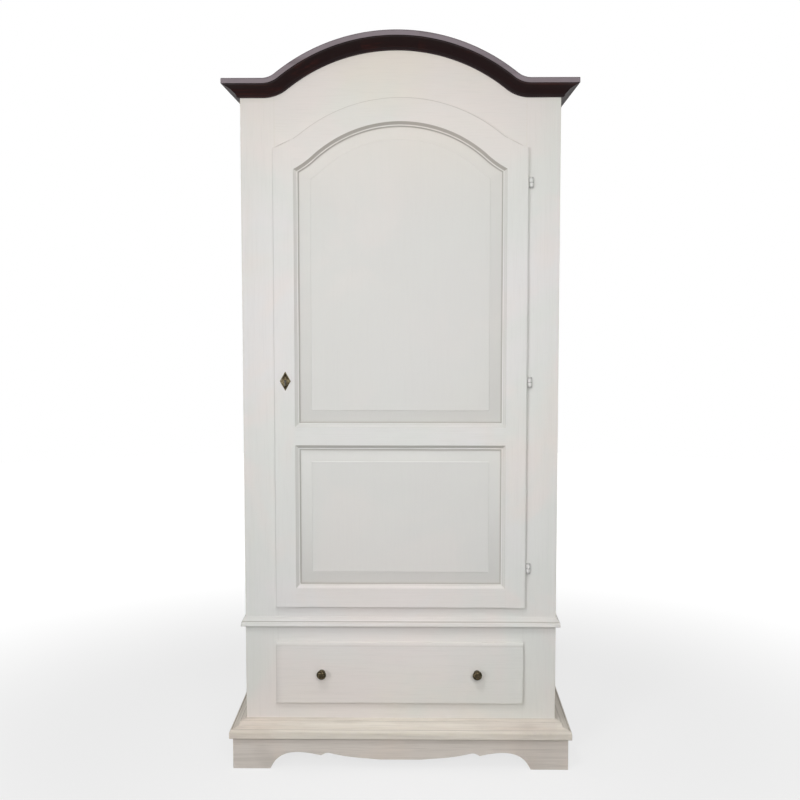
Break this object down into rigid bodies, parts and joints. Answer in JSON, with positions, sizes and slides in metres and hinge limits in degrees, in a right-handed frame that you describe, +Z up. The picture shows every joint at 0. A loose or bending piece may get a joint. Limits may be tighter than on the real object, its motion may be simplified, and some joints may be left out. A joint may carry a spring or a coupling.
{
  "type": "bonnetiere cabinet",
  "caption": "Tall single-door cupboard with an arched cornice, raised panels, a drawer below the waist moulding and a scalloped plinth.",
  "frame": {"origin": "centre of the footprint on the floor", "axes": "+Z up, -Y towards the door, +X towards the hinge side, on the right when seen from the front"},
  "size_m": [0.994, 0.6, 2.1],
  "materials": {
    "cream_paint": "brushed cream limewash paint, rubbed at the edges, darker glaze in the grooves",
    "plinth_paint": "greige limewash paint with level brown-grey streaks",
    "dark_walnut": "dark stained and waxed walnut",
    "bare_wood": "bare planed wood",
    "antique_brass": "dark aged brass, worn bright on the high spots",
    "hinge_metal": "steel barrel painted over in cream",
    "lock_steel": "dull grey steel"
  },
  "bodies": {
    "cabinet": {"bottom_rail": "cream_paint", "waist_rail": "cream_paint", "frieze_rail": "cream_paint", "front_stile_left": "cream_paint", "front_stile_right": "cream_paint", "hinge_frame_half_upper": "hinge_metal", "hinge_frame_half_middle": "hinge_metal", "hinge_frame_half_lower": "hinge_metal", "side_frame_left": "cream_paint", "side_frame_right": "cream_paint", "side_upper_panel_left": "cream_paint", "side_upper_panel_right": "cream_paint", "side_lower_panel_left": "cream_paint", "side_lower_panel_right": "cream_paint", "cupboard_floor": "bare_wood", "roof_board": "bare_wood", "shelf_1": "bare_wood", "shelf_2": "bare_wood", "shelf_3": "bare_wood", "back_board_1": "bare_wood", "back_board_2": "bare_wood", "back_board_3": "bare_wood", "drawer_runner_left": "bare_wood", "drawer_runner_right": "bare_wood", "waist_moulding_front": "cream_paint", "waist_moulding_left": "cream_paint", "waist_moulding_right": "cream_paint", "cornice_front_left": "dark_walnut", "cornice_front_centre": "dark_walnut", "cornice_front_right": "dark_walnut", "cornice_return_left": "dark_walnut", "cornice_return_right": "dark_walnut", "plinth_moulding_front": "plinth_paint", "plinth_moulding_left": "plinth_paint", "plinth_moulding_right": "plinth_paint", "apron_front": "plinth_paint", "apron_left": "plinth_paint", "apron_right": "plinth_paint", "plinth_back_rail": "bare_wood"},
    "door": {"door_stile_lock": "cream_paint", "door_stile_hinge": "cream_paint", "door_top_rail": "cream_paint", "door_mid_rail": "cream_paint", "door_bottom_rail": "cream_paint", "door_upper_panel": "cream_paint", "door_lower_panel": "cream_paint", "hinge_door_half_upper": "hinge_metal", "hinge_door_half_middle": "hinge_metal", "hinge_door_half_lower": "hinge_metal", "escutcheon": "antique_brass", "lock_case": "lock_steel"},
    "bolt": {"lock_bolt": "lock_steel"},
    "drawer": {"drawer_front": "cream_paint", "drawer_side_left": "bare_wood", "drawer_side_right": "bare_wood", "drawer_back": "bare_wood", "drawer_bottom": "bare_wood", "drawer_knob_left": "antique_brass", "drawer_knob_right": "antique_brass"}
  },
  "joints": [
    {"name": "door_hinge", "type": "hinge", "parent": "cabinet", "child": "door", "pos_m": [0.3685, -0.2593, 1.13], "axis": [0, 0, 1], "range_deg": [0, 170]},
    {"name": "drawer_slide", "type": "slide", "parent": "cabinet", "child": "drawer", "axis": [0, -1, 0], "range_m": [0, 0.36]},
    {"name": "lock_bolt_slide", "type": "slide", "parent": "door", "child": "bolt", "axis": [-1, 0, 0], "range_m": [0, 0.01]}
  ]
}
